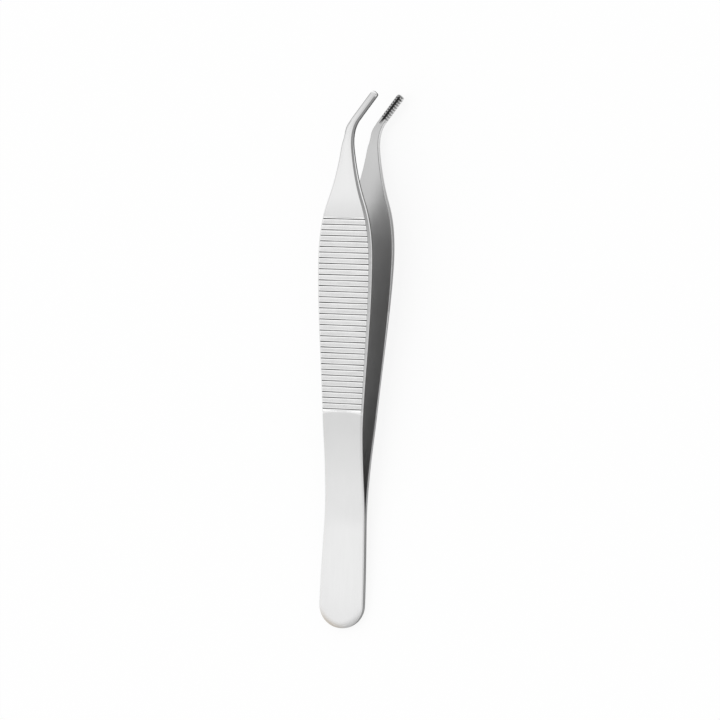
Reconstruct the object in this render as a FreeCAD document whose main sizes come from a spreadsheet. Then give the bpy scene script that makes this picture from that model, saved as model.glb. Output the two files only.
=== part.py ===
import FreeCAD, Part
import math
import os

from FreeCAD import Placement, Rotation, Vector

# Thumb forceps with a broad ribbed grip and jaws bent sideways, in millimetres.
# Two mirror-image blades lie face to face at the heel, are welded there and spring apart towards the jaws.
# Construction frame: +X from the heel to the tips, the blades meet at Z = 0, and the jaws bend towards -Y.
# Both blades are then tipped together, so that the pair lies on the heel and grip of the lower blade.

sizes = {
    "overallLength": 119.8,
    "heelRound": 5.2,
    # the neck, from the shoulder to the corner of the knee, and its stations from either end
    "neckLength": 16.0,
    "neckThinDelay": 3.0,
    "neckThinMargin": 3.2,
    "throatLead": 4.0,
    # the grip's widest and fully thick stations, measured back from the shoulder
    "gripLead": 14.2,
    "fullThicknessLead": 9.2,
    # the spring, measured back from its bend into the grip, and where the grip starts to thicken
    "springLength": 18.3,
    "waistLead": 8.3,
    "taperDelay": 11.6,
    # widths of a blade, and how steeply its sides close in at the shoulder and the throat
    "heelWidth": 11.0,
    "waistWidth": 9.6,
    "gripWidth": 13.5,
    "shoulderWidth": 9.0,
    "shoulderSlope": 0.385,
    "throatWidth": 3.0,
    "throatSlope": 0.14,
    # thicknesses of a blade
    "springThickness": 0.9,
    "gripThickness": 1.7,
    "jawThickness": 1.3,
    # outside to outside at the jaws, with the forceps relaxed
    "jawSpread": 13.75,
    # how far before and after a bend its rounding reaches
    "weldLead": 4.5,
    "bendLead": 2.4,
    "taperLead": 4.0,
    # the jaw, bent sideways at the knee
    "jawLength": 10.55,
    "jawWidth": 1.7,
    "jawBend": 38.0,
    "tipRound": 0.55,
    "kneeRadius": 3.0,
    # how far onto the jaw the hollow on the inside of the knee reaches
    "kneeHollow": 3.3,
    # broken edges
    "outerBevel": 0.45,
    "innerBevel": 0.12,
    # ribbed thumb grip: round ribs with a narrow polished land between sharp grooves
    "ribCount": 35,
    "ribMargin": 1.6,
    "ribPitch": 1.245,
    "ribLand": 0.25,
    "ribDepth": 0.2,
    # teeth across the jaw, cut in two rows by a trough along its middle
    "toothCount": 9,
    "toothPitch": 0.68,
    "toothLand": 0.1,
    "toothDepth": 0.36,
    "toothMargin": 0.5,
    "troughWidth": 0.55,
    "troughDepth": 0.45,
    "troughRunOut": 1.8,
}

quarterHandle = 0.5523  # handle of a cubic that follows a quarter of a circle or an ellipse
flowHandle = 1 / 3  # handle of a cubic that flows from one station to the next

doc = FreeCAD.newDocument("ThumbForceps")
sheet = doc.addObject("Spreadsheet::Sheet", "Sizes")
for row, (alias, value) in enumerate(sizes.items(), start=1):
    sheet.set(f"A{row}", alias)
    sheet.set(f"B{row}", str(value))
    sheet.setAlias(f"B{row}", alias)
doc.recompute()


def size(alias):
    return float(sheet.get(alias))


# The far corner of the jaw's end, rounded off, touches the overall length, which puts the knee's corner here.
jawTurn = math.radians(size("jawBend"))
jawHalf = size("jawWidth") / 2
cornerAlong = size("jawLength") - size("tipRound")
cornerAcross = jawHalf - size("tipRound")
cornerReach = cornerAlong * math.cos(jawTurn) + cornerAcross * math.sin(jawTurn) + size("tipRound")
kneeAt = size("overallLength") - cornerReach
kneeStart = kneeAt - size("kneeRadius") * math.tan(jawTurn / 2)
jawInnerFace = size("jawSpread") / 2 - size("jawThickness")
innermostNotch = size("jawLength") - size("toothMargin") - (size("toothCount") - 0.5) * size("toothPitch")

# Stations along the blade, from the heel end. They follow the knee, so the heel takes up a change of length.
throatAt = kneeAt - size("throatLead")
neckThinEnd = kneeAt - size("neckThinMargin")
shoulderAt = kneeAt - size("neckLength")
neckThinStart = shoulderAt + size("neckThinDelay")
gripAt = shoulderAt - size("gripLead")
taperEnd = shoulderAt - size("fullThicknessLead")

# The outer face of the grip is a plane that also touches the outer edge of the heel.
gripRise = (size("jawSpread") / 2 - size("springThickness")) / (shoulderAt - size("outerBevel"))
gripTilt = math.degrees(math.atan(gripRise))

# The last groove stays clear of the shoulder's bend, and the spring's bend ends a pitch before the first one.
lastGroove = shoulderAt - size("bendLead") - size("ribMargin")
ribStart = lastGroove - (size("ribCount") - 1) * size("ribPitch") * math.cos(math.radians(gripTilt))
springEnd = ribStart - size("ribPitch") - size("bendLead")
springStart = springEnd - size("springLength")
waistAt = springEnd - size("waistLead")
taperStart = springEnd + size("taperDelay")


# Height of the grip plane above the plane where the blades meet.
def gripPlane(x):
    return size("springThickness") + gripRise * (x - size("outerBevel"))


def cubic(start, startHandle, endHandle, end):
    curve = Part.BezierCurve()
    curve.setPoles([start, startHandle, endHandle, end])
    return curve.toBSpline()


# A side of the blade from one station to the next, leaving and arriving with the stated slopes.
def flow(start, startSlope, end, endSlope):
    reach = (end.x - start.x) * flowHandle
    return cubic(start, start + Vector(reach, startSlope * reach), end - Vector(reach, endSlope * reach), end)


def line(start, end):
    return Part.LineSegment(start, end)


def closedPolygon(points):
    return [line(a, b) for a, b in zip(points, points[1:] + points[:1])]


# Straight runs from corner to corner, each inner corner rounded by an arc that starts its lead before the corner.
def roundedRun(corners):
    pieces = []
    start = corners[0][0]
    for (before, _), (corner, lead), (after, _) in zip(corners, corners[1:], corners[2:]):
        back = (before - corner).normalize()
        ahead = (after - corner).normalize()
        first = corner + back * lead
        last = corner + ahead * lead
        halfTurn = (math.pi - back.getAngle(ahead)) / 2
        sag = lead * math.tan(halfTurn / 2)
        middle = corner + (back + ahead).normalize() * sag
        pieces += [line(start, first), Part.Arc(first, middle, last)]
        start = last
    return pieces + [line(start, corners[-1][0])]


# Both long edges of the blade seen from the side, joined into one closed outline. side is 1 up and -1 down.
def profileOutline(side):
    end = size("overallLength") + size("bendLead")
    jawOuterFace = size("jawSpread") / 2
    lead = size("bendLead")
    taperLead = size("taperLead")
    weldLead = size("weldLead")
    outer = [
        (0, size("springThickness"), 0),
        (springStart, size("springThickness"), weldLead),
        (springEnd, gripPlane(springEnd), lead),
        (shoulderAt, jawOuterFace, lead),
        (end, jawOuterFace, 0),
    ]
    inner = [
        (0, 0, 0),
        (springStart, 0, weldLead),
        (springEnd, gripPlane(springEnd) - size("springThickness"), lead),
        (taperStart, gripPlane(taperStart) - size("springThickness"), taperLead),
        (taperEnd, gripPlane(taperEnd) - size("gripThickness"), taperLead),
        (neckThinStart, jawOuterFace - size("gripThickness"), lead),
        (neckThinEnd, jawInnerFace, lead),
        (end, jawInnerFace, 0),
    ]
    runs = []
    for corners in (outer, inner):
        runs.append([(Vector(x, side * height), lead) for x, height, lead in corners])
    outerRun, innerRun = runs
    ends = [line(innerRun[0][0], outerRun[0][0]), line(outerRun[-1][0], innerRun[-1][0])]
    return roundedRun(outerRun) + roundedRun(innerRun) + ends


# A place on the bent jaw seen from above: along it from the corner of the knee, and across to its outer side.
def jawSpot(along, across):
    ahead = Vector(math.cos(jawTurn), -math.sin(jawTurn))
    outward = Vector(math.sin(jawTurn), math.cos(jawTurn))
    return Vector(kneeAt, 0) + ahead * along + outward * across


# One long edge of the blade seen from above. hand is 1 on the outside of the knee and -1 on the inside.
def planEdge(hand):
    heel = Vector(size("heelRound"), hand * size("heelWidth") / 2)
    waist = Vector(waistAt, hand * size("waistWidth") / 2)
    grip = Vector(gripAt, hand * size("gripWidth") / 2)
    shoulder = Vector(shoulderAt, hand * size("shoulderWidth") / 2)
    throat = Vector(throatAt, hand * size("throatWidth") / 2)
    throatEnd = -hand * size("throatSlope")
    heelHandles = (
        Vector(0, heel.y * quarterHandle),
        Vector(size("heelRound") * (1 - quarterHandle), heel.y),
    )
    knee = outsideOfKnee(throat, throatEnd) if hand > 0 else insideOfKnee(throat, throatEnd)
    return [
        cubic(Vector(0, 0), *heelHandles, heel),
        flow(heel, 0, waist, 0),
        flow(waist, 0, grip, 0),
        flow(grip, 0, shoulder, -hand * size("shoulderSlope")),
        flow(shoulder, -hand * size("shoulderSlope"), throat, throatEnd),
    ] + knee


# The outer edge runs straight into a round bend and on along the jaw.
def outsideOfKnee(throat, slope):
    centre = Vector(kneeStart, -size("kneeRadius"))
    bend = Part.Circle(centre, Vector(0, 0, 1), size("kneeRadius") + jawHalf)
    jawStart = bend.value(math.pi / 2 - jawTurn)
    return [
        flow(throat, slope, Vector(kneeStart, jawHalf), 0),
        Part.ArcOfCircle(bend, math.pi / 2 - jawTurn, math.pi / 2),
        line(jawStart, jawSpot(cornerAlong, jawHalf)),
    ]


# The inner edge sweeps from the throat onto the jaw in one long hollow.
def insideOfKnee(throat, slope):
    landing = jawSpot(size("kneeHollow"), -jawHalf)
    reach = throat.distanceToPoint(landing) * flowHandle
    leaving = throat + Vector(1, slope).normalize() * reach
    arriving = jawSpot(size("kneeHollow") - reach, -jawHalf)
    return [cubic(throat, leaving, arriving, landing), line(landing, jawSpot(cornerAlong, -jawHalf))]


# The end of the jaw is flat, with round corners.
def jawEnd():
    pieces = [line(jawSpot(size("jawLength"), cornerAcross), jawSpot(size("jawLength"), -cornerAcross))]
    diagonal = size("tipRound") * math.sqrt(0.5)
    for hand in (1, -1):
        side = jawSpot(cornerAlong, hand * jawHalf)
        middle = jawSpot(cornerAlong + diagonal, hand * (cornerAcross + diagonal))
        end = jawSpot(size("jawLength"), hand * cornerAcross)
        pieces.append(Part.Arc(side, middle, end))
    return pieces


def planOutline():
    return planEdge(1) + planEdge(-1) + jawEnd()


# The stock around the outline, which is cut away.
def planSurround():
    reach = size("overallLength")
    corners = [(-reach, -reach), (2 * reach, -reach), (2 * reach, reach), (-reach, reach)]
    return closedPolygon([Vector(x, y) for x, y in corners])


# One groove between two ribs, in a frame whose X runs along the grip. The ribs round into the land at its top.
def grooveOutline(side):
    half = (size("ribPitch") - size("ribLand")) / 2
    depth = size("ribDepth")
    radius = (half**2 + depth**2) / (2 * depth)
    halfway = math.asin(half / radius) / 2
    valley = Vector(0, -side * depth)
    pieces = []
    for hand in (-1, 1):
        brink = Vector(hand * half, 0)
        along = hand * (half - radius * math.sin(halfway))
        middle = Vector(along, -side * radius * (1 - math.cos(halfway)))
        pieces.append(Part.Arc(brink, middle, valley))
    left, right = Vector(-half, 0), Vector(half, 0)
    clear = Vector(0, side * depth)
    return pieces + [line(left, left + clear), line(left + clear, right + clear), line(right + clear, right)]


# One notch across the jaw, in a frame whose X runs along the jaw from the knee.
def notchOutline(side):
    half = (size("toothPitch") - size("toothLand")) / 2
    depth = side * size("toothDepth")
    corners = [(-half, 0), (0, depth), (half, 0), (half, -depth), (-half, -depth)]
    return closedPolygon([Vector(x, y) for x, y in corners])


# The trough between the rows of teeth, in a like frame. It runs out towards the knee in the arc of a round cutter.
def troughOutline(side):
    runOut = size("troughRunOut")
    depth = size("troughDepth")
    end = size("jawLength") - size("toothMargin") / 2
    radius = (runOut**2 + depth**2) / (2 * depth)
    halfway = math.asin(runOut / radius) / 2
    brink = Vector(innermostNotch - runOut, 0)
    foot = Vector(innermostNotch, side * depth)
    middle = foot - Vector(radius * math.sin(halfway), side * radius * (1 - math.cos(halfway)))
    up = Vector(0, side * depth)
    corners = [foot, Vector(end, 0) + up, Vector(end, 0) - up, brink - up, brink]
    return [Part.Arc(brink, middle, foot)] + [line(a, b) for a, b in zip(corners, corners[1:])]


def originPlane(body, role):
    return next(plane for plane in body.Origin.OriginFeatures if plane.Role == role)


def addSketch(body, name, role, outline, offset=Placement()):
    sketch = body.newObject("Sketcher::SketchObject", f"{body.Name}_{name}")
    sketch.AttachmentSupport = [(originPlane(body, role), "")]
    sketch.MapMode = "FlatFace"
    sketch.AttachmentOffset = offset
    sketch.addGeometry(outline, False)
    return sketch


def addCut(body, name, sketch, width):
    cut = body.newObject("PartDesign::Pocket", f"{body.Name}_{name}")
    cut.Profile = sketch
    cut.Midplane = True
    cut.setExpression("Length", width)
    sketch.Visibility = False
    return cut


def addRow(body, name, cut, sketch, length, count):
    row = body.newObject("PartDesign::LinearPattern", f"{body.Name}_{name}")
    row.Originals = [cut]
    row.Direction = (sketch, ["H_Axis"])
    row.setExpression("Length", length)
    row.setExpression("Occurrences", count)
    body.Tip = row
    return row


# Edges where a wide face, outer or inner, meets the blade's upright sides.
def longEdges(shape, facing):
    names = []
    for number, edge in enumerate(shape.Edges, start=1):
        tilts = []
        for face in shape.ancestorsOfType(edge, Part.Face):
            u, v = face.Surface.parameter(face.CenterOfMass)
            tilts.append(face.normalAt(u, v).z * facing)
        if max(tilts) > 0.5 and abs(min(tilts)) < 0.5:
            names.append(f"Edge{number}")
    return names


def breakEdges(body, name, base, facing, width):
    bevel = body.newObject("PartDesign::Chamfer", f"{body.Name}_{name}")
    bevel.Base = (base, longEdges(base.Shape, facing))
    bevel.setExpression("Size", width)
    doc.recompute()
    return bevel


def buildBlade(name, side):
    body = doc.addObject("PartDesign::Body", name)
    body.Label = name

    # forged stock, seen from the side, and its outline cut from above
    profile = addSketch(body, "profile", "XZ_Plane", profileOutline(side))
    stock = body.newObject("PartDesign::Pad", f"{name}_stock")
    stock.Profile = profile
    stock.Midplane = True
    stock.setExpression("Length", "2 * (Sizes.gripWidth + Sizes.jawLength)")
    plan = addSketch(body, "plan", "XY_Plane", planOutline() + planSurround())
    trimmed = addCut(body, "trimmed", plan, "2 * Sizes.jawSpread")
    doc.recompute()

    bevelled = breakEdges(body, "outer_bevel", trimmed, side, "Sizes.outerBevel")
    breakEdges(body, "inner_bevel", bevelled, -side, "Sizes.innerBevel")

    # ribs over the full width of the grip, running out on the bevels
    gripFrame = Placement(
        Vector(ribStart, side * gripPlane(ribStart), 0),
        Rotation(Vector(0, 0, 1), side * gripTilt),
    )
    groove = addSketch(body, "groove", "XZ_Plane", grooveOutline(side), gripFrame)
    grooveCut = addCut(body, "groove_cut", groove, "2 * Sizes.gripWidth")
    addRow(body, "ribs", grooveCut, groove, "(Sizes.ribCount - 1) * Sizes.ribPitch", "Sizes.ribCount")

    # the upper teeth stand half a pitch from the lower ones, so that the rows mesh when the jaws close
    firstNotch = innermostNotch + (side + 1) / 4 * size("toothPitch")
    jawFrame = Placement(Vector(kneeAt, side * jawInnerFace, 0), Rotation(Vector(0, 1, 0), -size("jawBend")))
    notchFrame = jawFrame * Placement(Vector(firstNotch, 0, 0), Rotation())
    notch = addSketch(body, "notch", "XZ_Plane", notchOutline(side), notchFrame)
    notchCut = addCut(body, "notch_cut", notch, "2 * Sizes.jawWidth")
    addRow(body, "teeth", notchCut, notch, "(Sizes.toothCount - 1) * Sizes.toothPitch", "Sizes.toothCount")

    trough = addSketch(body, "trough", "XZ_Plane", troughOutline(side), jawFrame)
    addCut(body, "trough_cut", trough, "Sizes.troughWidth")
    doc.recompute()
    return body


blades = [buildBlade("upper_blade", 1), buildBlade("lower_blade", -1)]

# The origin is the rest face: the land between two ribs in the middle of the lower grip.
middleLand = (int(size("ribCount")) // 2 - 0.5) * size("ribPitch")
gripAhead = Vector(math.cos(math.radians(gripTilt)), 0, -math.sin(math.radians(gripTilt)))
restPoint = Vector(ribStart, 0, -gripPlane(ribStart)) + gripAhead * middleLand
tip = Rotation(Vector(0, 1, 0), -gripTilt)
for blade in blades:
    blade.Placement = Placement(-tip.multVec(restPoint), tip)
doc.recompute()

for item in doc.Objects:
    if "Invalid" in item.State or "Error" in item.State:
        raise RuntimeError(f"{item.Name} failed: {item.State}")

os.makedirs("parts", exist_ok=True)
for blade in blades:
    if blade.Shape.isNull() or not blade.Shape.isValid():
        raise RuntimeError(f"{blade.Label} has no valid shape")
    blade.Shape.exportStep(f"parts/{blade.Label}.step")
    print(blade.Label, round(blade.Shape.Volume, 2), "mm3,", len(blade.Shape.Faces), "faces")
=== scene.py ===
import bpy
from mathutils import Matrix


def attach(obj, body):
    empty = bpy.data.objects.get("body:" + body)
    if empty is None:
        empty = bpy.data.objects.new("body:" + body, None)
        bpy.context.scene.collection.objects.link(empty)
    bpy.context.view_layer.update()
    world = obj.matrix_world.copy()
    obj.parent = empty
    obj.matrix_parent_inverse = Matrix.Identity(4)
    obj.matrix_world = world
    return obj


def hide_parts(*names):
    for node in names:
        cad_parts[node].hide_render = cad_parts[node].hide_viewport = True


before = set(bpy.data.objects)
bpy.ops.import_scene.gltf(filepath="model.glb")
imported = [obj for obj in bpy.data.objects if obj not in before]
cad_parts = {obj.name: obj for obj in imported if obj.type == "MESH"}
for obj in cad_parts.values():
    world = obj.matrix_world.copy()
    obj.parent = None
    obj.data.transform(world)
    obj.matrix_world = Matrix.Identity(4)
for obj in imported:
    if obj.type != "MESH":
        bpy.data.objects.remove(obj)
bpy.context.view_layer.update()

import math

import bmesh
import bpy
from mathutils import Matrix, Vector

# Thumb forceps of polished steel, lying on a pale table and seen from above.

mm = 0.001

# Both blades start out straight and flat on their backs, heel at x = 0, and get their bends last.
blade = {  # millimetres and degrees
    "length": 119.8,
    "heelRound": 5.2,
    "jawLength": 10.55,
    "jawWidth": 1.7,
    "jawBend": 38.0,
    "tipRound": 0.55,
    "kneeRadius": 3.0,
    "kneeHollow": 3.3,  # how far onto the jaw the hollow inside of the knee reaches
    "kneeEase": 0.13,  # how much the outside of the knee is rounded off
    "kneeEaseReach": 2.6,  # and how far from its middle, each way
    "neckLength": 16.0,  # corner of the knee back to the shoulder
    "neckThinDelay": 3.0,  # shoulder on to where the neck starts to thin
    "neckThinMargin": 3.2,  # corner of the knee back to where it has thinned
    "throatLead": 4.0,  # corner of the knee back to the throat
    "gripLead": 14.2,  # shoulder back to the widest place
    "fullThicknessLead": 9.2,  # shoulder back to where the grip is at its thickest
    "springLength": 18.3,
    "waistLead": 8.3,  # end of the spring back to the waist
    "taperDelay": 11.6,  # end of the spring on to where the grip starts to thicken
    "heelWidth": 11.0,
    "waistWidth": 9.6,
    "gripWidth": 13.5,
    "shoulderWidth": 9.0,
    "shoulderSlope": 0.385,
    "throatWidth": 3.0,
    "throatSlope": 0.14,
    "springThickness": 0.9,
    "gripThickness": 1.7,
    "jawThickness": 1.3,
    "jawSpread": 13.75,  # outside to outside
    "weldLead": 4.5,  # leads: how far the rounding of a bend reaches each way
    "bendLead": 2.4,
    "taperLead": 4.0,
    "restBevel": 0.45,  # bevel that the pair rests on at the heel
    "softening": 0.07,  # how far the polish has rounded each long edge
    "smoothBelow": 28.0,  # angle between faces that are shaded as one surface
    "columnStep": 1.0,  # spacing of the cross edges along the blade
    "jawStep": 0.5,
    "heelSteps": 14,
    "kneeSteps": 12,
    "hollowSteps": 60,
    "tipSteps": 6,
}

ribs = {
    "count": 35,
    "margin": 1.6,  # last groove to the start of the shoulder's bend
    "pitch": 1.245,
    "land": 0.25,
    "depth": 0.2,
    "flankSteps": 6,
    "cutterWidth": 20.0,
    "cutterLift": 0.4,  # how far the cutter stands out of the face
}

teeth = {
    "count": 9,
    "pitch": 0.68,
    "land": 0.1,
    "depth": 0.36,
    "margin": 0.5,
    "cutterWidth": 3.6,
    "cutterLift": 0.1,
    "troughWidth": 0.55,
    "troughDepth": 0.45,
    "troughRunOut": 1.8,
    "runOutSteps": 8,
}

jawTurn = math.radians(blade["jawBend"])
jawHalf = blade["jawWidth"] / 2
cornerAlong = blade["jawLength"] - blade["tipRound"]
cornerAcross = jawHalf - blade["tipRound"]
cornerReach = cornerAlong * math.cos(jawTurn) + cornerAcross * math.sin(jawTurn) + blade["tipRound"]
kneeAt = blade["length"] - cornerReach
kneeTangent = blade["kneeRadius"] * math.tan(jawTurn / 2)
kneeStart = kneeAt - kneeTangent
kneeStep = 2 * blade["kneeRadius"] * math.tan(jawTurn / blade["kneeSteps"] / 2)
jawStart = kneeStart + kneeStep * blade["kneeSteps"]
jawEnd = jawStart - kneeTangent + blade["jawLength"]
throatAt = kneeAt - blade["throatLead"]
shoulderAt = kneeAt - blade["neckLength"]
gripRise = (blade["jawSpread"] / 2 - blade["springThickness"]) / (shoulderAt - blade["restBevel"])
gripTilt = math.atan(gripRise)
lastGroove = shoulderAt - blade["bendLead"] - ribs["margin"]
firstGroove = lastGroove - (ribs["count"] - 1) * ribs["pitch"] * math.cos(gripTilt)
springEnd = firstGroove - ribs["pitch"] - blade["bendLead"]
springStart = springEnd - blade["springLength"]
print("stations along the blade worked out")


def gripPlane(x):
    return blade["springThickness"] + gripRise * (x - blade["restBevel"])


# half the blade's width, with the slope of its side, at stations that smooth curves join
sides = [
    (blade["heelRound"], blade["heelWidth"] / 2, 0),
    (springEnd - blade["waistLead"], blade["waistWidth"] / 2, 0),
    (shoulderAt - blade["gripLead"], blade["gripWidth"] / 2, 0),
    (shoulderAt, blade["shoulderWidth"] / 2, -blade["shoulderSlope"]),
    (throatAt, blade["throatWidth"] / 2, -blade["throatSlope"]),
    (kneeStart, jawHalf, 0),
]

# the outer and the inner face from the side: corners, each with the reach of its rounding
jawFace = blade["jawSpread"] / 2
taperStart = springEnd + blade["taperDelay"]
taperEnd = shoulderAt - blade["fullThicknessLead"]
outerRun = [
    (0, blade["springThickness"], 0),
    (springStart, blade["springThickness"], blade["weldLead"]),
    (springEnd, gripPlane(springEnd), blade["bendLead"]),
    (shoulderAt, jawFace, blade["bendLead"]),
    (jawEnd, jawFace, 0),
]
innerRun = [
    (0, 0, 0),
    (springStart, 0, blade["weldLead"]),
    (springEnd, gripPlane(springEnd) - blade["springThickness"], blade["bendLead"]),
    (taperStart, gripPlane(taperStart) - blade["springThickness"], blade["taperLead"]),
    (taperEnd, gripPlane(taperEnd) - blade["gripThickness"], blade["taperLead"]),
    (shoulderAt + blade["neckThinDelay"], jawFace - blade["gripThickness"], blade["bendLead"]),
    (kneeAt - blade["neckThinMargin"], jawFace - blade["jawThickness"], blade["bendLead"]),
    (jawEnd, jawFace - blade["jawThickness"], 0),
]

# width of the polished bevel along the outer edge, at stations
bevelRun = [
    (0, 0.42),
    (2, 0.28),
    (5, 0.16),
    (springStart, 0.18),
    (springEnd, 0.3),
    (taperStart + 6, 0.5),
    (shoulderAt - 8, 0.6),
    (shoulderAt + 4, 0.44),
    (kneeAt, 0.3),
    (jawEnd, 0.3),
]
# how far the outer face stands up along its middle
crownRun = [
    (0, 0.1),
    (springEnd, 0.08),
    (firstGroove, 0.05),
    (lastGroove, 0.05),
    (shoulderAt, 0.08),
    (jawEnd, 0.06),
]


# point on a curve of four poles
def curvePoint(poles, t):
    weights = ((1 - t) ** 3, 3 * t * (1 - t) ** 2, 3 * t * t * (1 - t), t**3)
    return sum((pole * weight for pole, weight in zip(poles, weights)), Vector((0, 0)))


# what the outside of the knee is rounded off by, most in the middle of the bend
def kneeEase(x):
    share = abs(x - (kneeStart + jawStart) / 2) / blade["kneeEaseReach"]
    return blade["kneeEase"] * (1 - share**2) ** 2 if share < 1 else 0


# half the blade's width on the side that is the outside of the knee
def outerWidth(x):
    for (x0, y0, slope0), (x1, y1, slope1) in zip(sides, sides[1:]):
        if x <= x1:
            run = x1 - x0
            handles = (y0 + slope0 * run / 3, y1 - slope1 * run / 3)
            heights = [Vector((0, height)) for height in (y0, *handles, y1)]
            return curvePoint(heights, (x - x0) / run).y - kneeEase(x)
    return jawHalf - kneeEase(x)


# place on the bent jaw: along it from the corner of the knee, and across to its outer side
jawAhead = Vector((math.cos(jawTurn), -math.sin(jawTurn)))
jawOutward = Vector((math.sin(jawTurn), math.cos(jawTurn)))


def jawSpot(along, across):
    return Vector((kneeAt, 0)) + jawAhead * along + jawOutward * across


# where a spot of the bent jaw lies on the straight blade: along it, and how far to its inner side
def straighten(spot):
    centre = Vector((kneeStart, -blade["kneeRadius"]))
    turned = math.atan2(spot.x - centre.x, spot.y - centre.y)
    if turned < 0:
        return spot.x, -spot.y
    if turned < jawTurn:
        reach = kneeStart + (jawStart - kneeStart) * turned / jawTurn
        return reach, blade["kneeRadius"] - (spot - centre).length
    offset = spot - Vector((kneeAt, 0))
    return jawStart - kneeTangent + offset.dot(jawAhead), -offset.dot(jawOutward)


# The inside of the knee is one long hollow from the throat onto the jaw.
throat = Vector((throatAt, -blade["throatWidth"] / 2))
landing = jawSpot(blade["kneeHollow"], -jawHalf)
hollowReach = (landing - throat).length / 3
leaving = throat + Vector((1, blade["throatSlope"])).normalized() * hollowReach
hollowPoles = [throat, leaving, jawSpot(blade["kneeHollow"] - hollowReach, -jawHalf), landing]
hollowRun = []
for step in range(blade["hollowSteps"] + 1):
    hollowRun.append(straighten(curvePoint(hollowPoles, step / blade["hollowSteps"])))


# value of a run at x, in between its stations
def readRun(run, x):
    for (x0, z0), (x1, z1) in zip(run, run[1:]):
        if x <= x1:
            return z0 + (z1 - z0) * (x - x0) / (x1 - x0)
    return run[-1][1]


def innerWidth(x):
    return outerWidth(x) if x < throatAt else readRun(hollowRun, x)


# height of a rounded run at x: straight stretches, with a parabola across each corner
def heightOf(run, x):
    corners = [(corner[0], corner[1]) for corner in run]
    for (x0, z0, _), (x1, z1, lead), (x2, z2, _) in zip(run, run[1:], run[2:]):
        if abs(x - x1) < lead:
            before = (z1 - z0) / (x1 - x0)
            after = (z2 - z1) / (x2 - x1)
            t = (x - x1 + lead) / (2 * lead)
            return (1 - t) ** 2 * (z1 - before * lead) + 2 * t * (1 - t) * z1 + t * t * (z1 + after * lead)
    return readRun(corners, x)


# one side of the blade from mid heel to mid tip, each point with its outward normal
def sideOutline(widthAt):
    quarter = math.pi / 2
    points = []
    for step in range(blade["heelSteps"] + 1):
        turn = quarter * step / blade["heelSteps"]
        points.append((blade["heelRound"] * (1 - math.cos(turn)), blade["heelWidth"] / 2 * math.sin(turn)))
    columns = []
    steps = round((kneeStart - blade["heelRound"]) / blade["columnStep"])
    for step in range(1, steps + 1):
        columns.append(blade["heelRound"] + (kneeStart - blade["heelRound"]) * step / steps)
    columns += [kneeStart + kneeStep * step for step in range(1, blade["kneeSteps"] + 1)]
    cornerAt = jawEnd - blade["tipRound"]
    jawSteps = round((cornerAt - jawStart) / blade["jawStep"])
    columns += [jawStart + (cornerAt - jawStart) * step / jawSteps for step in range(1, jawSteps)]
    points += [(x, widthAt(x)) for x in columns]
    for step in range(blade["tipSteps"] + 1):
        turn = quarter * step / blade["tipSteps"]
        reach = blade["tipRound"]
        points.append((cornerAt + reach * math.sin(turn), cornerAcross + reach * math.cos(turn)))
    points.append((jawEnd, 0))
    placed = []
    for number, (x, y) in enumerate(points):
        before = Vector(points[max(number - 1, 0)])
        after = Vector(points[min(number + 1, len(points) - 1)])
        ahead = ((after - Vector((x, y))).normalized() + (Vector((x, y)) - before).normalized()).normalized()
        placed.append((Vector((x, y)), Vector((-ahead.y, ahead.x))))
    placed[0] = (Vector((0, 0)), Vector((-1, 0)))
    placed[-1] = (Vector((jawEnd, 0)), Vector((1, 0)))
    return placed


innerOutline = sideOutline(innerWidth)
outerOutline = sideOutline(outerWidth)
ringSize = 2 * len(outerOutline) - 2


def selectVertices(test):
    sheet = bmesh.from_edit_mesh(bpy.context.object.data)
    for vertex in sheet.verts:
        vertex.select = test(vertex.co)
    sheet.select_flush_mode()
    bmesh.update_edit_mesh(bpy.context.object.data)


# adds a closed ring of edges to the mesh in hand and lays it along the points
def addRing(points):
    bpy.ops.mesh.primitive_circle_add(vertices=len(points), radius=mm)
    sheet = bmesh.from_edit_mesh(bpy.context.object.data)
    fresh = [vertex for vertex in sheet.verts if vertex.select]
    for vertex, point in zip(fresh, points):
        vertex.co = Vector(point) * mm
    bmesh.update_edit_mesh(bpy.context.object.data)


# a new empty object, in edit mode
def startPiece(name):
    bpy.ops.object.select_all(action="DESELECT")
    bpy.ops.mesh.primitive_plane_add(size=mm)
    piece = bpy.context.object
    piece.name = name
    bpy.ops.object.mode_set(mode="EDIT")
    bpy.ops.mesh.select_mode(type="VERT")
    bpy.ops.mesh.delete(type="VERT")
    bpy.ops.object.mode_set(mode="OBJECT")  # out and in again, so that new vertices are counted from 0
    bpy.ops.object.mode_set(mode="EDIT")
    return piece


def applyModifier(piece, kind, settings):
    modifier = piece.modifiers.new("step", kind)
    for name, value in settings.items():
        setattr(modifier, name, value)
    bpy.ops.object.modifier_apply(modifier=modifier.name)


# a ring round the whole blade, in from its outline by inset and squeezed to a share of its width
def bladeRing(inset, height, share=1):
    halves = []
    for outline, hand in ((innerOutline, -1), (outerOutline, 1)):
        half = []
        for point, normal in outline:
            spot = point - normal * inset(point.x)
            half.append((spot.x, spot.y * share * hand, height(spot.x, share)))
        halves.append(half)
    near, far = halves
    return near + far[-2:0:-1]


soft = blade["softening"]
softDiagonal = soft / math.sqrt(2)


def bevelAt(x):
    return readRun(bevelRun, x)


def outerAt(x, share=1):
    return heightOf(outerRun, x) - readRun(crownRun, x) * share * share


def innerAt(x):
    return heightOf(innerRun, x)


# the inner edge, rolled under by polishing: in from the outline, and up from the inner face
innerRoll = [(0.2, 0), (0.12, 0.045), (0.055, 0.13), (0.015, 0.25), (0, 0.4), (0, 0.62), (0, 0.8)]
rollRoom = 0.85  # height of wall that the roll needs, and where the wall is lower it shrinks


def rollShare(x):
    return min((outerAt(x) - bevelAt(x) - soft - innerAt(x)) / rollRoom, 1)


def rolled(inset, rise):
    return lambda x: inset, lambda x, share: innerAt(x) + rise * rollShare(x), 1


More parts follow.
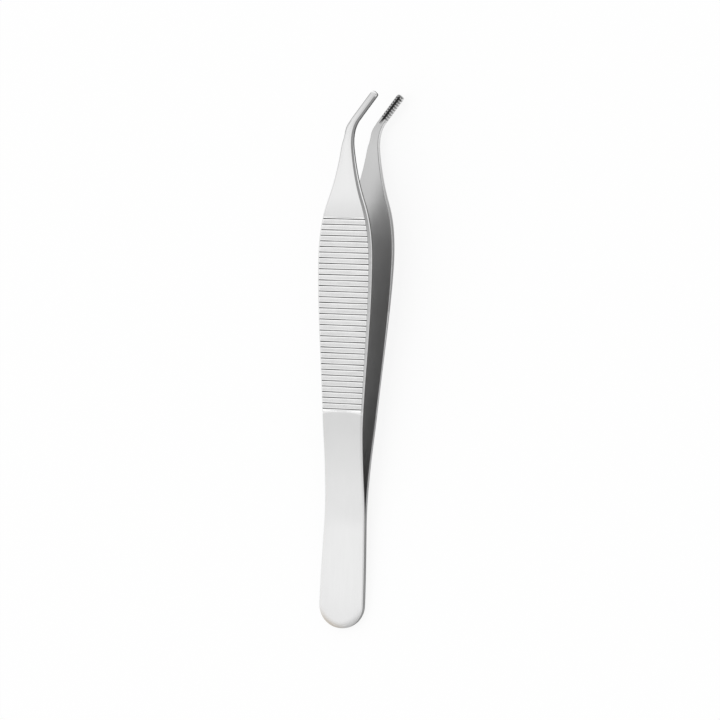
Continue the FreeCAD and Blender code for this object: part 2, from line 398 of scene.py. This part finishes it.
# rings from the inner face round the blade's edge, and in over the crown of the outer face
ringPlan = [rolled(inset, rise) for inset, rise in innerRoll] + [
    (lambda x: 0, lambda x, share: outerAt(x) - bevelAt(x) - soft, 1),
    (lambda x: softDiagonal / 4, lambda x, share: outerAt(x) - bevelAt(x) + (softDiagonal - soft) / 4, 1),
    (lambda x: softDiagonal, lambda x, share: outerAt(x) - bevelAt(x) + softDiagonal, 1),
    (lambda x: bevelAt(x) - softDiagonal, lambda x, share: outerAt(x) - softDiagonal, 1),
    (lambda x: bevelAt(x) + (soft - softDiagonal) / 4, lambda x, share: outerAt(x) - softDiagonal / 4, 1),
    (lambda x: bevelAt(x) + soft, outerAt, 1),
    (lambda x: bevelAt(x) + soft, outerAt, 0.75),
    (lambda x: bevelAt(x) + soft, outerAt, 0.5),
    (lambda x: bevelAt(x) + soft, outerAt, 0.25),
]


# selects the edges along the rings from first to last, apart from those that touch a vertex left out
def selectRings(first, last, leftOut=()):
    sheet = bmesh.from_edit_mesh(bpy.context.object.data)
    sheet.verts.index_update()
    for vertex in sheet.verts:
        vertex.select = False
    for edge in sheet.edges:
        ends = [vertex.index for vertex in edge.verts]
        ring = ends[0] // ringSize
        apart = abs(ends[0] - ends[1])
        runsAlong = ring == ends[1] // ringSize and apart in (1, ringSize - 1)
        touchesEnd = any(end % ringSize in leftOut for end in ends)
        edge.select = runsAlong and first <= ring <= last and not touchesEnd
    bmesh.update_edit_mesh(bpy.context.object.data)


# fills the face inside a ring with strips from side to side, and a triangle at the heel and at the tip
def closeFace(ring):
    tip = len(outerOutline) - 1
    bpy.ops.mesh.select_mode(type="EDGE")
    selectRings(ring, ring, (0, tip))
    bpy.ops.mesh.bridge_edge_loops()
    bpy.ops.mesh.select_mode(type="VERT")
    for corner in ((0, 1, ringSize - 1), (tip, tip - 1, tip + 1)):
        sheet = bmesh.from_edit_mesh(bpy.context.object.data)
        sheet.verts.index_update()
        for vertex in sheet.verts:
            vertex.select = vertex.index - ring * ringSize in corner
        sheet.select_flush_mode()
        bmesh.update_edit_mesh(bpy.context.object.data)
        bpy.ops.mesh.edge_face_add()


# a bar across the blade whose end is the outline given in x and z
def makeCutter(name, points, width):
    cutter = startPiece(name)
    addRing([(x, -width / 2, z) for x, z in points])
    bpy.ops.mesh.edge_face_add()
    bpy.ops.mesh.extrude_region_move(TRANSFORM_OT_translate={"value": (0, width * mm, 0)})
    bpy.ops.mesh.select_all(action="SELECT")
    bpy.ops.mesh.normals_make_consistent(inside=False)
    bpy.ops.object.mode_set(mode="OBJECT")
    return cutter


# copies a cutter into a row
def repeat(cutter, count, stride):
    row = {"count": count, "use_relative_offset": False, "use_constant_offset": True}
    row["constant_offset_displace"] = Vector(stride) * mm
    applyModifier(cutter, "ARRAY", row)


def cutAway(piece, cutter):
    bpy.ops.object.select_all(action="DESELECT")
    piece.select_set(True)
    bpy.context.view_layer.objects.active = piece
    applyModifier(piece, "BOOLEAN", {"operation": "DIFFERENCE", "solver": "EXACT", "object": cutter})
    bpy.data.objects.remove(cutter)


# a row of grooves between round ribs, with a flat land along the top of each rib
def cutRibs(piece):
    half = (ribs["pitch"] - ribs["land"]) / 2
    radius = (half**2 + ribs["depth"] ** 2) / (2 * ribs["depth"])
    reach = math.asin(half / radius)
    flank = []
    for step in range(ribs["flankSteps"] + 1):
        turn = reach * step / ribs["flankSteps"]
        flank.append((-half + radius * math.sin(turn), -radius * (1 - math.cos(turn))))
    lift = ribs["cutterLift"]
    points = [(-half, lift)] + flank + [(-x, z) for x, z in flank[-2::-1]] + [(half, lift)]
    lean = Matrix.Rotation(gripTilt, 2)
    placed = [lean @ Vector(point) + Vector((firstGroove, gripPlane(firstGroove))) for point in points]
    cutter = makeCutter("grooveCutter", placed, ribs["cutterWidth"])
    stride = (ribs["pitch"] * math.cos(gripTilt), 0, ribs["pitch"] * math.sin(gripTilt))
    repeat(cutter, ribs["count"], stride)
    cutAway(piece, cutter)


# The notch nearest to the knee. The upper blade's notches lie half a pitch further on.
def lowestNotch(shift):
    return jawEnd - teeth["margin"] - (teeth["count"] - 0.5 - shift) * teeth["pitch"]


# notches across the jaw's inner face, and the trough that parts them into two rows of teeth
def cutTeeth(piece, shift):
    half = (teeth["pitch"] - teeth["land"]) / 2
    jawInner = jawFace - blade["jawThickness"]
    cutterBack = jawInner - teeth["cutterLift"]
    spread = half * (1 + teeth["cutterLift"] / teeth["depth"])
    lowest = lowestNotch(shift)
    points = [(lowest - spread, cutterBack), (lowest, jawInner + teeth["depth"])]
    points.append((lowest + spread, cutterBack))
    cutter = makeCutter("notchCutter", points, teeth["cutterWidth"])
    repeat(cutter, teeth["count"], (teeth["pitch"], 0, 0))
    cutAway(piece, cutter)

    # the trough runs out towards the knee in the arc of a round cutter
    runOut, depth = teeth["troughRunOut"], teeth["troughDepth"]
    radius = (runOut**2 + depth**2) / (2 * depth)
    end = jawEnd - teeth["margin"] / 2
    points = []
    for step in range(teeth["runOutSteps"] + 1):
        turn = math.asin(runOut / radius) * (1 - step / teeth["runOutSteps"])
        rise = depth - radius * (1 - math.cos(turn))
        points.append((lowestNotch(0) - radius * math.sin(turn), jawInner + rise))
    brink = points[0][0] - teeth["cutterLift"]
    points += [(end, jawInner + depth), (end, cutterBack), (brink, cutterBack)]
    cutAway(piece, makeCutter("troughCutter", points, teeth["troughWidth"]))


# bends the jaw sideways, column by column from the far end of the knee
def bendJaw():
    stepTurn = jawTurn / blade["kneeSteps"]
    bpy.ops.object.mode_set(mode="EDIT")
    for column in range(blade["kneeSteps"], 0, -1):
        pivot = kneeStart + (column - 0.5) * kneeStep
        selectVertices(lambda spot: spot.x > pivot * mm)
        bpy.ops.transform.rotate(
            value=stepTurn, orient_axis="Z", orient_type="GLOBAL", center_override=(pivot * mm, 0, 0)
        )
    bpy.ops.object.mode_set(mode="OBJECT")


# The pair is tipped so that it lies on the lower grip, whose middle land is the origin.
middleLand = (ribs["count"] // 2 - 0.5) * ribs["pitch"]
restAlong = firstGroove + middleLand * math.cos(gripTilt)
restBelow = gripPlane(firstGroove) + middleLand * math.sin(gripTilt)
restPoint = Vector((restAlong, 0, -restBelow))


def makeBlade(name, node, side, shift):
    piece = startPiece(name)
    for inset, height, share in ringPlan:
        addRing(bladeRing(inset, height, share))
    bpy.ops.mesh.select_mode(type="EDGE")
    for number in range(len(ringPlan) - 1):
        selectRings(number, number + 1)
        bpy.ops.mesh.bridge_edge_loops()
    closeFace(0)
    closeFace(len(ringPlan) - 1)
    bpy.ops.mesh.select_all(action="SELECT")
    bpy.ops.mesh.normals_make_consistent(inside=False)
    bpy.ops.object.mode_set(mode="OBJECT")
    cutRibs(piece)
    cutTeeth(piece, shift)
    markSurface(piece)
    bendJaw()
    tip = Matrix.Rotation(-gripTilt, 3, "Y")
    piece.scale = (1, 1, side)
    piece.rotation_euler = (0, -gripTilt, 0)
    piece.location = -(tip @ restPoint) * mm
    bpy.ops.object.transform_apply(location=True, rotation=True, scale=True)
    bpy.ops.object.mode_set(mode="EDIT")
    bpy.ops.mesh.select_all(action="SELECT")
    bpy.ops.mesh.normals_make_consistent(inside=False)
    bpy.ops.object.mode_set(mode="OBJECT")
    bpy.ops.object.shade_smooth_by_angle(angle=math.radians(blade["smoothBelow"]))
    applyModifier(piece, "WEIGHTED_NORMAL", {"mode": "FACE_AREA", "keep_sharp": True})
    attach(piece, "root")
    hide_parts(node)
    print(name, "made")
    return piece


class Sock:
    # wraps a shader socket, so that sums on it add Math nodes
    def __init__(self, tree, socket):
        self.tree = tree
        self.socket = socket

    def math(self, operation, *others):
        return self.tree.add("ShaderNodeMath", {"operation": operation}, (self,) + others)

    def __add__(self, other):
        return self.math("ADD", other)

    __radd__ = __add__

    def __sub__(self, other):
        return self.math("SUBTRACT", other)

    def __rsub__(self, other):
        return self.tree.add("ShaderNodeMath", {"operation": "SUBTRACT"}, (other, self))

    def __mul__(self, other):
        return self.math("MULTIPLY", other)

    __rmul__ = __mul__

    def __truediv__(self, other):
        return self.math("DIVIDE", other)


class Tree:
    # the node tree of one material or world
    def __init__(self, owner):
        owner.use_nodes = True
        self.nodes = owner.node_tree.nodes
        self.links = owner.node_tree.links
        self.nodes.clear()

    def plug(self, target, value):
        if isinstance(value, Sock):
            self.links.new(value.socket, target)
        elif isinstance(value, (tuple, list)) and target.type == "RGBA" and len(value) == 3:
            target.default_value = (*value, 1.0)
        else:
            target.default_value = value

    # settings come first, then the sockets by position (a tuple) or by name (a dictionary)
    def add(self, kind, settings=None, values=(), output=0):
        node = self.nodes.new(kind)
        for name, value in (settings or {}).items():
            if name == "stops":
                ramp = node.color_ramp
                while len(ramp.elements) < len(value):
                    ramp.elements.new(0.5)
                for element, (place, grey) in zip(ramp.elements, value):
                    element.position = place
                    element.color = (grey, grey, grey, 1.0)
            else:
                setattr(node, name, value)
        pairs = values.items() if isinstance(values, dict) else enumerate(values)
        for key, value in pairs:
            self.plug(node.inputs[key], value)
        return Sock(self, node.outputs[output]) if len(node.outputs) else None


# the steel's finish, and the light and shade painted into its colour
finishAndShade = {
    # the steel's reflectance, with painted light and shade along the blade: millimetres from the heel,
    # reflectance
    "reflectanceAndShade": [
        (0, 0.67),
        (10, 0.7),
        (22, 0.69),
        (32, 0.65),
        (44, 0.58),
        (90, 0.6),
        (96, 0.67),
        (108, 0.67),
        (120, 0.55),
    ],
    # painted reflections and shade: how bright each blade's side wall is along the blade
    "walls": {
        "upper": [
            (0, 0.5),
            (25, 0.6),
            (50, 0.75),
            (90, 0.8),
            (98, 0.95),
            (105, 0.85),
            (111, 0.22),
            (120, 0.16),
        ],
        "lower": [
            (0, 0.42),
            (18, 0.4),
            (30, 0.45),
            (60, 0.4),
            (90, 0.4),
            (98, 0.6),
            (106, 0.75),
            (120, 0.9),
        ],
    },
    # painted reflections: how bright the bevel along the outer edge is, along the blade
    "bevels": [
        (0, 0.8),
        (5, 1.0),
        (25, 0.95),
        (50, 0.75),
        (90, 0.75),
        (100, 0.66),
        (107, 0.5),
        (111, 0.38),
        (120.8, 0.34),
        (121.2, 0.95),
    ],
    # painted shade between the blades: what an inner face keeps of the brightness along the blade
    "satin": [(0, 0.55), (40, 0.6), (60, 0.66), (85, 0.68), (100, 0.74), (120, 0.76)],
    "insideSheen": 0.16,  # painted reflection: how much brighter an inner face grows from one side to the other
    "insideAbove": (0.6, 0.9),  # normal's height over which a face turns into an inner one
    "ribGain": 0.44,  # painted highlight: how much brighter the ribs are
    "ribFade": 1.0,  # length over which that starts
    "ribLand": 0.7,  # what the flat lands along the ribs keep, a painted shade
    "grooveLoss": 0.95,  # painted shade: how much darker the bottom of a groove is at the blade's sides
    "grooveMiddle": 0.72,  # and what of that loss is left in mid-width
    "grooveLine": (0.05, 0.5),  # depths between which a groove's painted dark line builds up
    "grooveChange": 1.2,  # how much that line varies from place to place
    # painted shade in the notches and in the trough
    "notchLoss": 0.55,
    "notchPale": {"from": -0.4, "to": 0.3, "keep": 0.5},  # one row of teeth keeps only a share of it
    "troughLoss": 0.92,
    "troughDepths": (0.45, 1.0),  # shares of its depth at which the trough starts to darken, and is darkest
    "toothShade": 0.7,  # painted shade: how much the side wall's edge darkens at each notch
    "toothFade": 1.0,  # length over which that starts
    # painted shade on the rolled edge that faces the other blade, along the blade
    "edgeLoss": {
        "upper": [(0, 0.3), (22, 0.5), (40, 0.85), (95, 0.9), (105, 0.95), (120.5, 0.8), (121.2, 0.1)],
        "lower": [(0, 0.3), (22, 0.5), (35, 0.0), (120, 0.0)],
    },
    "edgeReach": (0.62, 0.8),  # heights up the side wall where that painted shade starts to fade, and is gone
    "arch": {"below": 0.35, "drop": 1.3, "fade": 0.4, "gain": 0.16},  # how the finish under the ribs starts
    # painted shade round the heel's rim, with a warmer tint towards one side
    "heelRim": {"from": 0.45, "loss": 0.4, "warm": (1.0, 0.9, 0.78), "warmSide": (-2.5, 3.0)},
    "roughness": 0.2,
    "ribRoughness": 0.15,
    "satinRoughness": 0.32,
    "streaks": {"size": (6.0, 0.35, 0.35), "colour": 0.03, "roughness": 0.06},
    "clouds": {"size": 5.0, "colour": 0.02, "roughness": 0.05},
    "ribTones": {"size": (0.8, 4.0, 4.0), "colour": 0.12},
    "grain": {"size": (2.5, 0.09, 0.09), "height": 0.0006, "strength": 0.5},
    "ripple": {"size": 3.0, "height": 0.006, "strength": 0.5},
}


# how deep a spot on the outer side lies under the smooth face, as a share of the ribs' depth
def grooveDepth(spot):
    share = min(abs(spot.y) / (outerWidth(spot.x) - bevelAt(spot.x) - soft), 1)
    return (outerAt(spot.x, share) - spot.z) / ribs["depth"]


# how deep a spot on the inner side lies in a notch or the trough, as a share of the teeth's depth
def notchDepth(spot):
    return (spot.z - innerAt(spot.x)) / teeth["depth"]


def fraction(value):
    return min(max(value, 0), 1)


# how the faces are told apart on the straight blade, by the run of their normals
facing = {
    "wallSideways": 0.8,
    "wallUpright": 0.4,
    "edgeSideways": 0.25,
    "bevelUp": 0.3,
    "landUp": 0.9,
    "landFlat": 0.06,  # share of the full depth that still counts as on the land
    "troughHalf": 0.55,  # half of the trough and a little more, as a share of its width
}


# keeps on the mesh where each point lies on the straight blade, and which part of the surface each face is,
# for its finish and painted shade
def markSurface(piece):
    mesh = piece.data
    straight = mesh.attributes.new("straight", "FLOAT_VECTOR", "POINT")
    for vertex in mesh.vertices:
        straight.data[vertex.index].vector = vertex.co
    names = ("groove", "notch", "trough", "land", "wall", "bevel", "edge")
    for name in names:
        mesh.attributes.new(name, "FLOAT", "CORNER")
    marks = {name: mesh.attributes[name].data for name in names}
    flat = facing["landFlat"]
    full, gone = finishAndShade["edgeReach"]
    ribbedFrom = firstGroove - ribs["pitch"] / 2
    ribbedTo = lastGroove + ribs["pitch"] / 2
    troughHalf = teeth["troughWidth"] * facing["troughHalf"]
    toTrough = teeth["depth"] / teeth["troughDepth"]
    for face in mesh.polygons:
        spots = [mesh.vertices[corner].co / mm for corner in face.vertices]
        up = face.normal.z
        atEnd = spots[0].x < blade["heelRound"] or spots[0].x > jawEnd - blade["tipRound"]
        sideways = math.hypot(face.normal.y, face.normal.x if atEnd else 0)
        onWall = sideways > facing["wallSideways"] and abs(up) < facing["wallUpright"]
        onEdge = sideways > facing["edgeSideways"]
        onBevel = onEdge and up > facing["bevelUp"] and not onWall
        ribbed = all(ribbedFrom < spot.x < ribbedTo for spot in spots)
        onLand = ribbed and up > facing["landUp"] and all(abs(grooveDepth(spot)) < flat for spot in spots)
        narrow = all(abs(spot.y) < troughHalf for spot in spots)
        deepest = max(notchDepth(spot) for spot in spots) * toTrough
        inTrough = spots[0].x > kneeAt and narrow and flat < deepest < 1 + flat
        for loop, spot in zip(face.loop_indices, spots):
            if ribbed and up > 0 and not onWall and not onBevel:
                marks["groove"][loop].value = fraction(grooveDepth(spot))
            if spot.x > kneeAt and up < 0 and not onWall:
                marks["notch"][loop].value = fraction(notchDepth(spot))
            if inTrough:
                marks["trough"][loop].value = fraction(notchDepth(spot) * toTrough)
            if onEdge:
                rise = (spot.z - innerAt(spot.x)) / rollShare(spot.x)
                marks["edge"][loop].value = fraction((gone - rise) / (gone - full))
            marks["land"][loop].value = 1 if onLand else 0
            marks["wall"][loop].value = 1 if onWall else 0
            marks["bevel"][loop].value = 1 if onBevel else 0


def makeSteel(name, side, shift):
    steel = bpy.data.materials.new(name + "Steel")
    tree = Tree(steel)

    def mark(attribute):
        return tree.add("ShaderNodeAttribute", {"attribute_name": attribute}, (), "Fac")

    def clamped(value, low, high, first=0.0, last=1.0):
        smooth = {"interpolation_type": "SMOOTHSTEP"}
        return tree.add("ShaderNodeMapRange", smooth, (value, low, high, first, last))

    place = tree.add("ShaderNodeAttribute", {"attribute_name": "straight"}, (), "Vector")
    reach = tree.add("ShaderNodeSeparateXYZ", {}, (place,), "X") / mm
    across = tree.add("ShaderNodeSeparateXYZ", {}, (place,), "Y") / mm
    normal = tree.add("ShaderNodeTexCoord", {}, (), "Normal")
    height = tree.add("ShaderNodeSeparateXYZ", {}, (normal,), "Z") * -side
    inside = clamped(height, *finishAndShade["insideAbove"])

    def noise(size, detail=2.0):
        scale = [1 / (mm * part) for part in (size if isinstance(size, tuple) else (size,) * 3)]
        spread = tree.add("ShaderNodeMapping", {}, {"Vector": place, "Scale": scale})
        return tree.add("ShaderNodeTexNoise", {}, {"Vector": spread, "Scale": 1.0, "Detail": detail}) - 0.5

    def lengthwise(stops):
        placed = [(at / jawEnd, grey) for at, grey in stops]
        return tree.add("ShaderNodeValToRGB", {"stops": placed}, (reach / jawEnd,))

    def between(mask, first, second):
        return tree.add("ShaderNodeMix", {"data_type": "FLOAT"}, {0: mask, 2: first, 3: second})

    streaks = noise(finishAndShade["streaks"]["size"])
    clouds = noise(finishAndShade["clouds"]["size"])
    ribTones = noise(finishAndShade["ribTones"]["size"])
    outside = 1 - inside
    belowRibs = clamped(reach, firstGroove - finishAndShade["ribFade"], firstGroove, 1.0, 0.0)
    pastRibs = clamped(reach, lastGroove, lastGroove + ribs["pitch"] / 2)
    ribbed = (1 - belowRibs) * (1 - pastRibs) * outside

    # under the ribs the finish starts along an arch, with a bright corner left at each side
    arch = finishAndShade["arch"]
    widest = blade["gripWidth"] / 2
    archAt = firstGroove - arch["below"] - across * across * (arch["drop"] / widest**2)
    corners = clamped(reach - archAt, -arch["fade"], 0) * belowRibs * outside

    # painted shade: the rim of the heel is darker; it is also warmer towards one side
    rim = finishAndShade["heelRim"]
    heelwards = clamped(reach, 0, blade["heelRound"], 1.0, 0.0)
    back = (blade["heelRound"] - reach) / blade["heelRound"]
    outwards = across / (blade["heelWidth"] / 2)
    rimmed = clamped(back * back + outwards * outwards, rim["from"], 1.0) * heelwards * outside

    # brightness of each surface, with painted light along it, and the painted shade on it
    metal = lengthwise(finishAndShade["reflectanceAndShade"]) * (1 + ribbed * finishAndShade["ribGain"])
    metal = between(mark("wall"), metal, lengthwise(finishAndShade["walls"][name]))
    metal = between(mark("bevel"), metal, lengthwise(finishAndShade["bevels"]))
    shade = 1 + streaks * (2 * finishAndShade["streaks"]["colour"]) + clouds * (2 * finishAndShade["clouds"]["colour"])
    shade = shade + ribTones * ribbed * (2 * finishAndShade["ribTones"]["colour"]) + corners * arch["gain"]
    # painted shade on the inner faces, with a painted reflection brightening them towards one side
    satin = lengthwise(finishAndShade["satin"]) * (1 - across * (finishAndShade["insideSheen"] / widest))
    shade = shade * (1 - inside * (1 - satin)) * (1 - rimmed * rim["loss"])
    # painted shade in the grooves, and on the flat lands of the ribs
    middle = finishAndShade["grooveMiddle"]
    valley = clamped(mark("groove"), *finishAndShade["grooveLine"]) * (1 + ribTones * finishAndShade["grooveChange"])
    valley = valley * (middle + across * across * ((1 - middle) / widest**2)) * finishAndShade["grooveLoss"]
    shade = shade * (1 - valley) * (1 - mark("land") * (1 - finishAndShade["ribLand"]))

    # painted shade on the rows of teeth, in the trough between them, and at the notches' ends in the side
    # wall
    pale = finishAndShade["notchPale"]
    trough = clamped(mark("trough"), *finishAndShade["troughDepths"])
    notch = mark("notch") * (1 - trough) * clamped(across, pale["from"], pale["to"], pale["keep"], 1.0)
    shade = shade * (1 - notch * finishAndShade["notchLoss"]) * (1 - trough * finishAndShade["troughLoss"])
    wave = ((reach - lowestNotch(shift)) * (2 * math.pi / teeth["pitch"])).math("COSINE") * 0.5 + 0.5
    toothed = clamped(reach, lowestNotch(0) - finishAndShade["toothFade"], lowestNotch(0))
    notched = wave * toothed * finishAndShade["toothShade"]
    # painted shade along the rolled edge that faces the other blade
    rolledEdge = mark("edge")
    shade = shade * (1 - rolledEdge * lengthwise(finishAndShade["edgeLoss"][name])) * (1 - rolledEdge * notched)

    warmed = rimmed * clamped(across, *rim["warmSide"])
    tints = {0: warmed, 6: (1.0, 1.0, 1.0), 7: rim["warm"]}
    warm = tree.add("ShaderNodeMix", {"data_type": "RGBA"}, tints, 2)
    tone = tree.add("ShaderNodeVectorMath", {"operation": "SCALE"}, {0: warm, "Scale": metal * shade})
    roughness = finishAndShade["roughness"] + inside * (finishAndShade["satinRoughness"] - finishAndShade["roughness"])
    roughness = roughness + ribbed * (finishAndShade["ribRoughness"] - finishAndShade["roughness"])
    roughness = roughness + streaks * finishAndShade["streaks"]["roughness"]
    roughness = roughness + clouds * finishAndShade["clouds"]["roughness"]
    bump = None
    for part in ("ripple", "grain"):
        layer = finishAndShade[part]
        values = {"Height": noise(layer["size"]), "Strength": layer["strength"]}
        values["Distance"] = layer["height"] * mm
        if bump:
            values["Normal"] = bump
        bump = tree.add("ShaderNodeBump", {}, values)
    shader = tree.add(
        "ShaderNodeBsdfPrincipled",
        {},
        {"Base Color": tone, "Metallic": 1.0, "Roughness": roughness, "Normal": bump},
    )
    tree.add("ShaderNodeOutputMaterial", {}, {"Surface": shader})
    return steel


upperBlade = makeBlade("upperBlade", "upper_blade", 1, 0.5)
lowerBlade = makeBlade("lowerBlade", "lower_blade", -1, 0)
upperBlade.data.materials.append(makeSteel("upper", 1, 0.5))
lowerBlade.data.materials.append(makeSteel("lower", -1, 0))
print("blades finished")

# the table: white to the eye and in the steel's reflections, with the forceps' faint shadow on it
table = {"size": 6.0, "colour": (0.9, 0.9, 0.9), "seenWhite": 0.86, "mirroredWhite": 0.35}
bpy.ops.object.select_all(action="DESELECT")
bpy.ops.mesh.primitive_plane_add(size=table["size"])
floor = bpy.context.object
floor.name = "floor"
floorPaint = bpy.data.materials.new("tableTop")
floorTree = Tree(floorPaint)
seen = floorTree.add("ShaderNodeLightPath", {}, (), "Is Camera Ray")
mirrored = floorTree.add("ShaderNodeLightPath", {}, (), "Is Glossy Ray")
through = floorTree.add("ShaderNodeLightPath", {}, (), "Is Transmission Ray")
matte = floorTree.add("ShaderNodeBsdfDiffuse", {}, {"Color": table["colour"]})
white = floorTree.add("ShaderNodeEmission", {}, {"Color": (1.0, 1.0, 1.0), "Strength": 1.0})
whiteness = seen * table["seenWhite"] + (mirrored + through) * table["mirroredWhite"]
tableTop = floorTree.add("ShaderNodeMixShader", {}, (whiteness, matte, white))
floorTree.add("ShaderNodeOutputMaterial", {}, {"Surface": tableTop})
floor.data.materials.append(floorPaint)

# A soft studio all round. Its brightness runs with the lean along the forceps, and from side to side.
studio = {
    "strength": 1.4,
    # degrees from straight up, lengthwise, and how bright it is there
    "farSide": [
        (-90, 0.62),
        (-60, 0.92),
        (-24, 0.88),
        (-11, 0.84),
        (0, 0.95),
        (15, 0.97),
        (50, 0.95),
        (90, 0.6),
    ],
    "nearSide": [
        (-90, 0.6),
        (-20, 0.58),
        (0, 0.52),
        (30, 0.36),
        (50, 0.3),
        (60, 0.36),
        (72, 0.8),
        (90, 0.85),
    ],
    # sideways reach from the near side to the far side, and how bright it is there
    "level": [(-1.0, 0.85), (-0.5, 0.88), (0.2, 0.9), (0.4, 0.95), (0.47, 1.0), (0.54, 0.95), (1.0, 0.8)],
    "change": (-0.4, 0.15),  # sideways reach over which the near side gives way to the far side
}
world = bpy.data.worlds.new("studio")
bpy.context.scene.world = world
skyTree = Tree(world)
skyward = skyTree.add("ShaderNodeTexCoord", {}, (), "Generated")
leanX = skyTree.add("ShaderNodeSeparateXYZ", {}, (skyward,), "X")
leanY = skyTree.add("ShaderNodeSeparateXYZ", {}, (skyward,), "Y")
leanZ = skyTree.add("ShaderNodeSeparateXYZ", {}, (skyward,), "Z")


# a ramp of greys over a place that runs from -reach to reach
def brightness(place, reach, stops):
    placed = [(at / (2 * reach) + 0.5, grey) for at, grey in stops]
    return skyTree.add("ShaderNodeValToRGB", {"stops": placed}, (place / (2 * reach) + 0.5,))


angle = leanX.math("ARCTAN2", leanZ) * (180 / math.pi)
farSide = brightness(angle, 90, studio["farSide"])
nearSide = brightness(angle, 90, studio["nearSide"])
changing = (leanY, *studio["change"], 0.0, 1.0)
farShare = skyTree.add("ShaderNodeMapRange", {"interpolation_type": "SMOOTHSTEP"}, changing)
glow = skyTree.add("ShaderNodeMix", {"data_type": "FLOAT"}, {0: farShare, 2: nearSide, 3: farSide})
sideGlow = brightness(leanY, 1, studio["level"])
sky = skyTree.add("ShaderNodeBackground", {}, {"Color": glow * sideGlow, "Strength": studio["strength"]})
skyTree.add("ShaderNodeOutputWorld", {}, {"Surface": sky})

# one broad lamp high up gives the shadow on the table its direction
lamp = {"place": (-0.2, 0.5, 1.6), "size": 1.4, "power": 5.0}
bpy.ops.object.light_add(type="AREA", location=lamp["place"])
light = bpy.context.object
light.name = "overhead"
light.data.size = lamp["size"]
light.data.energy = lamp["power"]
light.rotation_euler = (-Vector(lamp["place"])).to_track_quat("-Z", "Y").to_euler()
light.visible_glossy = False
print("table and studio placed")

# the camera looks down on the forceps from the side that their jaws bend to
view = {
    "pairTilt": 3.609,  # degrees that the pair's middle plane leans when it lies down
    "fromNormal": 28.0,  # degrees round the forceps' length from that plane's normal
    "roll": 2.36,  # degrees that the forceps lean to the right in the picture
    "distance": 1.0,
    "pictureWidth": 0.1609,  # metres across the picture at that distance
    "aimAlong": -0.00947,  # point that the camera looks at, along the forceps from the origin
    "aimUp": 0.0052,
    "aimRight": 0.00174,
}
lean = math.radians(view["pairTilt"])
swing = math.radians(view["fromNormal"])
roll = math.radians(view["roll"])
along = Vector((math.cos(lean), 0, math.sin(lean)))
normal = Vector((-math.sin(lean), 0, math.cos(lean)))
towards = normal * math.cos(swing) + Vector((0, -1, 0)) * math.sin(swing)
sideways = along.cross(towards)
right = sideways * math.cos(roll) + along * math.sin(roll)
up = along * math.cos(roll) - sideways * math.sin(roll)
aim = along * view["aimAlong"] + normal * view["aimUp"] + right * view["aimRight"]
bpy.ops.object.camera_add()
camera = bpy.context.object
camera.data.sensor_width = 36.0
camera.data.lens = camera.data.sensor_width * view["distance"] / view["pictureWidth"]
turned = Matrix((right, up, towards)).transposed().to_4x4()
camera.matrix_world = Matrix.Translation(aim + towards * view["distance"]) @ turned
bpy.context.scene.camera = camera
print("camera placed")

bpy.context.scene.view_settings.view_transform = "Standard"
